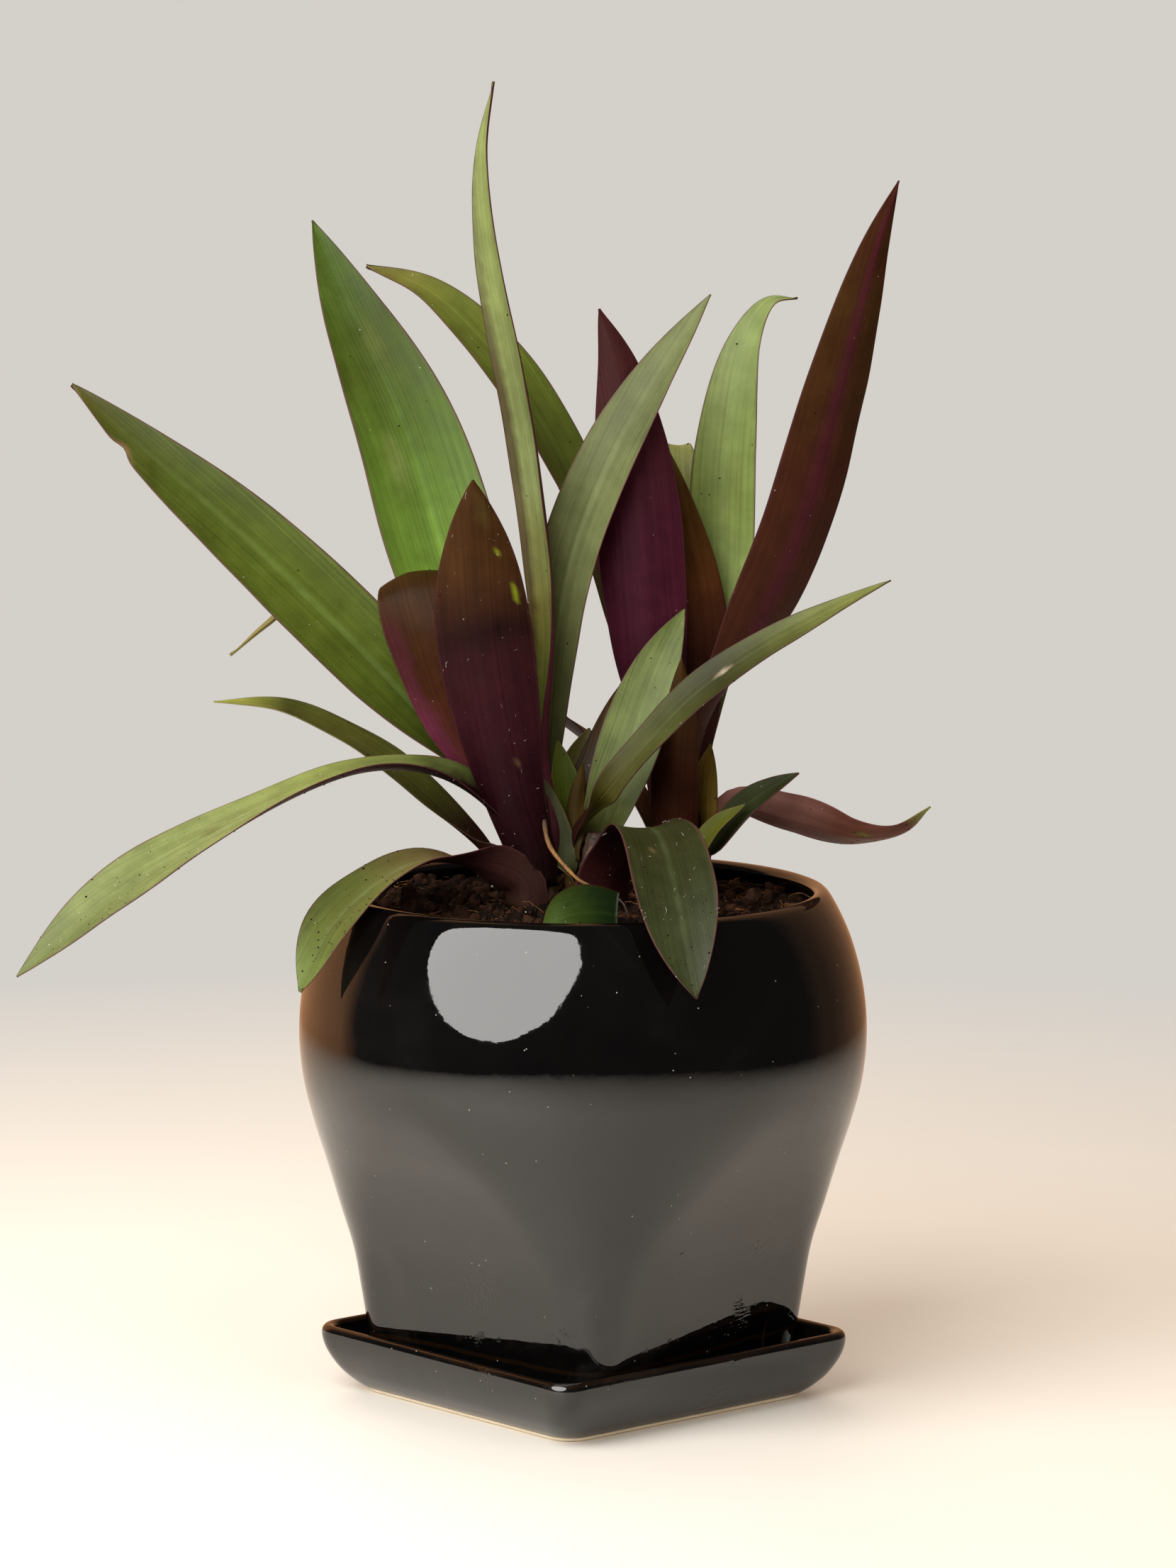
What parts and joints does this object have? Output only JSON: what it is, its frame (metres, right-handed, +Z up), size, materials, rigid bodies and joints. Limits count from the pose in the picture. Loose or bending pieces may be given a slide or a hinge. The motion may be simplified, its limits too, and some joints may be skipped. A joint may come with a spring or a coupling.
{
  "type": "potted oyster plant",
  "caption": "Strap-leaved foliage plant, green above and purple below, growing in tufts from a round-bellied glazed pot with a square foot, on a square saucer.",
  "frame": {"origin": "centre of the saucer's underside, on the surface that it stands on", "axes": "+Z up; +X and +Y along the saucer's sides; the pot is turned 7.5 degrees about +Z"},
  "size_m": [0.2405, 0.2606, 0.4161],
  "materials": {
    "glazed_saucer": "glossy black glaze, bare clay line at the foot",
    "glazed_pot": "glossy black glaze",
    "potting_soil": "damp, matt and crumbly, with bark chips and perlite",
    "stem": "dry papery skin",
    "root": "matt",
    "leaf_deep_green": "satin, dark purple underside",
    "leaf_green": "satin, purple underside",
    "leaf_pale_green": "satin, purple underside",
    "leaf_grey_green": "satin, greyish",
    "leaf_dark_purple": "satin, green upper face",
    "leaf_brown_purple": "satin, green upper face",
    "leaf_bright_purple": "satin, green upper face",
    "leaf_dusty_pink": "satin, green upper face"
  },
  "bodies": {
    "root": {"saucer": "glazed_saucer", "pot": "glazed_pot", "potting_soil": "potting_soil", "stem_left": "stem", "stem_middle": "stem", "stem_right": "stem", "surface_root": "root", "leaf_cut": "leaf_deep_green", "leaf_left_tall": "leaf_pale_green", "leaf_left_slanting": "leaf_grey_green", "leaf_left_dark": "leaf_dark_purple", "leaf_left_broad": "leaf_green", "leaf_left_curled": "leaf_brown_purple", "leaf_left_long": "leaf_deep_green", "leaf_left_arching": "leaf_pale_green", "leaf_left_narrow": "leaf_deep_green", "leaf_left_rim": "leaf_deep_green", "leaf_middle_pale": "leaf_pale_green", "leaf_middle_reaching": "leaf_grey_green", "leaf_middle_rim": "leaf_deep_green", "leaf_middle_edge": "leaf_brown_purple", "leaf_middle_back": "leaf_brown_purple", "leaf_middle_young": "leaf_green", "leaf_middle_thin": "leaf_grey_green", "leaf_middle_low": "leaf_grey_green", "leaf_middle_bud": "leaf_brown_purple", "leaf_right_purple": "leaf_bright_purple", "leaf_right_brown": "leaf_brown_purple", "leaf_right_tall": "leaf_dark_purple", "leaf_right_pale": "leaf_pale_green", "leaf_right_olive": "leaf_grey_green", "leaf_right_arching": "leaf_deep_green", "leaf_right_long": "leaf_brown_purple", "leaf_right_sheath": "leaf_dark_purple", "leaf_right_stub": "leaf_grey_green", "leaf_right_low": "leaf_dusty_pink", "leaf_right_green": "leaf_deep_green", "leaf_right_sprout": "leaf_pale_green"}
  },
  "joints": []
}
